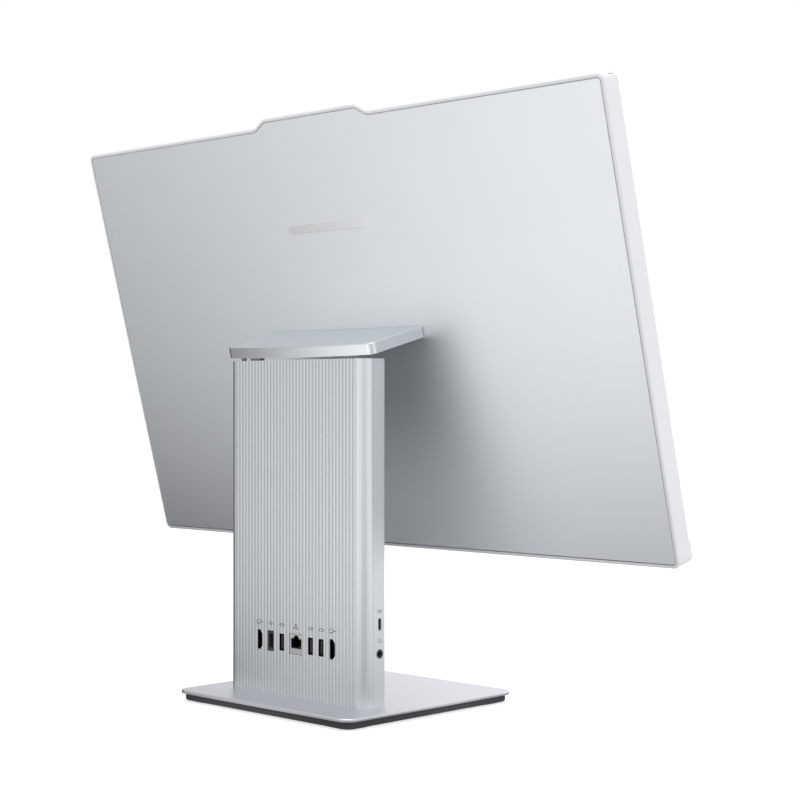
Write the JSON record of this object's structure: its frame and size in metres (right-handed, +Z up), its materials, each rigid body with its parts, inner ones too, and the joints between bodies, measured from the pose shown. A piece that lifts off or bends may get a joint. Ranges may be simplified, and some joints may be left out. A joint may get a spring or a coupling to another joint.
{
  "type": "all-in-one computer",
  "caption": "Slim all-in-one desktop computer: wide display tilting on a neck, ribbed column with ports, flat base, camera bump with shutter, power key.",
  "frame": {"origin": "centre of the base's footprint, on the surface the computer stands on", "axes": "+Z up; the screen faces -Y and the rear ports face +Y; +X is the user's right when facing the screen"},
  "size_m": [0.6098, 0.194, 0.4934],
  "materials": {
    "silver_metal": "fine satin",
    "base_silver": "fine satin",
    "white_plastic": "satin",
    "dark_plastic": "fine texture",
    "black_plastic": "matt",
    "black_gloss": "gloss",
    "rubber": "matt",
    "sheet_steel": "zinc plated",
    "screw_steel": "machined",
    "port_steel": "plated",
    "polished_trim": "polished",
    "screen_glass": "anti-glare",
    "circuit_board": "solder mask",
    "chip_metal": "plated",
    "copper": "plain copper",
    "fin_metal": "mill",
    "brass": "plain",
    "ribbon": "satin"
  },
  "bodies": {
    "stand": {"audio_jack": "black_plastic", "base_plate": "base_silver", "base_screws": "screw_steel", "base_tray": "dark_plastic", "board_components": "black_plastic", "board_screws": "screw_steel", "board_spacers": "brass", "bracket_screws": "screw_steel", "cell_holder": "black_plastic", "clock_cell": "chip_metal", "cold_plate": "copper", "column_cap": "dark_plastic", "column_chassis": "sheet_steel", "column_foot": "sheet_steel", "column_front": "silver_metal", "column_shell": "silver_metal", "dc_inlet": "dark_plastic", "display_cable_lower": "ribbon", "ethernet_port": "port_steel", "fan_housing": "black_plastic", "fin_stack": "fin_metal", "foot_pads": "rubber", "friction_washers": "screw_steel", "hdmi_ports": "port_steel", "heat_pipe": "copper", "hinge_brackets": "sheet_steel", "mainboard": "circuit_board", "memory_modules": "circuit_board", "memory_sockets": "black_plastic", "port_contacts": "brass", "port_tongues": "black_plastic", "processor": "chip_metal", "storage_drive": "circuit_board", "usb_a_ports": "port_steel", "usb_c_port": "port_steel", "wireless_card": "circuit_board"},
    "display": {"neck_arm": "sheet_steel", "neck_screws": "screw_steel", "neck_cover": "silver_metal", "neck_underside": "dark_plastic", "cover_screws": "screw_steel", "hinge_shafts": "screw_steel", "display_frame": "white_plastic", "back_cover": "silver_metal", "back_trim": "polished_trim", "display_chassis": "sheet_steel", "backlight": "black_plastic", "lcd_panel": "screen_glass", "camera_board": "circuit_board", "camera_lens": "screen_glass", "camera_window": "black_gloss", "microphones": "screw_steel", "speaker_left": "black_plastic", "speaker_right": "black_plastic", "power_switch": "circuit_board", "display_board": "circuit_board", "display_cable_upper": "ribbon"},
    "shutter": {"camera_shutter": "dark_plastic"},
    "power_key": {"power_button": "white_plastic"},
    "fan_wheel": {"fan_rotor": "black_plastic"}
  },
  "joints": [
    {"name": "display_tilt", "type": "hinge", "parent": "stand", "child": "display", "pos_m": [0, 0.046, 0.277], "axis": [1, 0, 0], "range_deg": [0, 20]},
    {"name": "shutter_slide", "type": "slide", "parent": "display", "child": "shutter", "axis": [-1, 0, 0], "range_m": [0, 0.007]},
    {"name": "power_press", "type": "slide", "parent": "display", "child": "power_key", "axis": [-1, 0, 0], "range_m": [0, 0.0006], "stiffness_N_per_m": 2000, "springref_m": -0.0004},
    {"name": "fan_spin", "type": "hinge", "parent": "stand", "child": "fan_wheel", "pos_m": [0, 0.0437, 0.229], "axis": [0, 1, 0], "continuous": true}
  ]
}
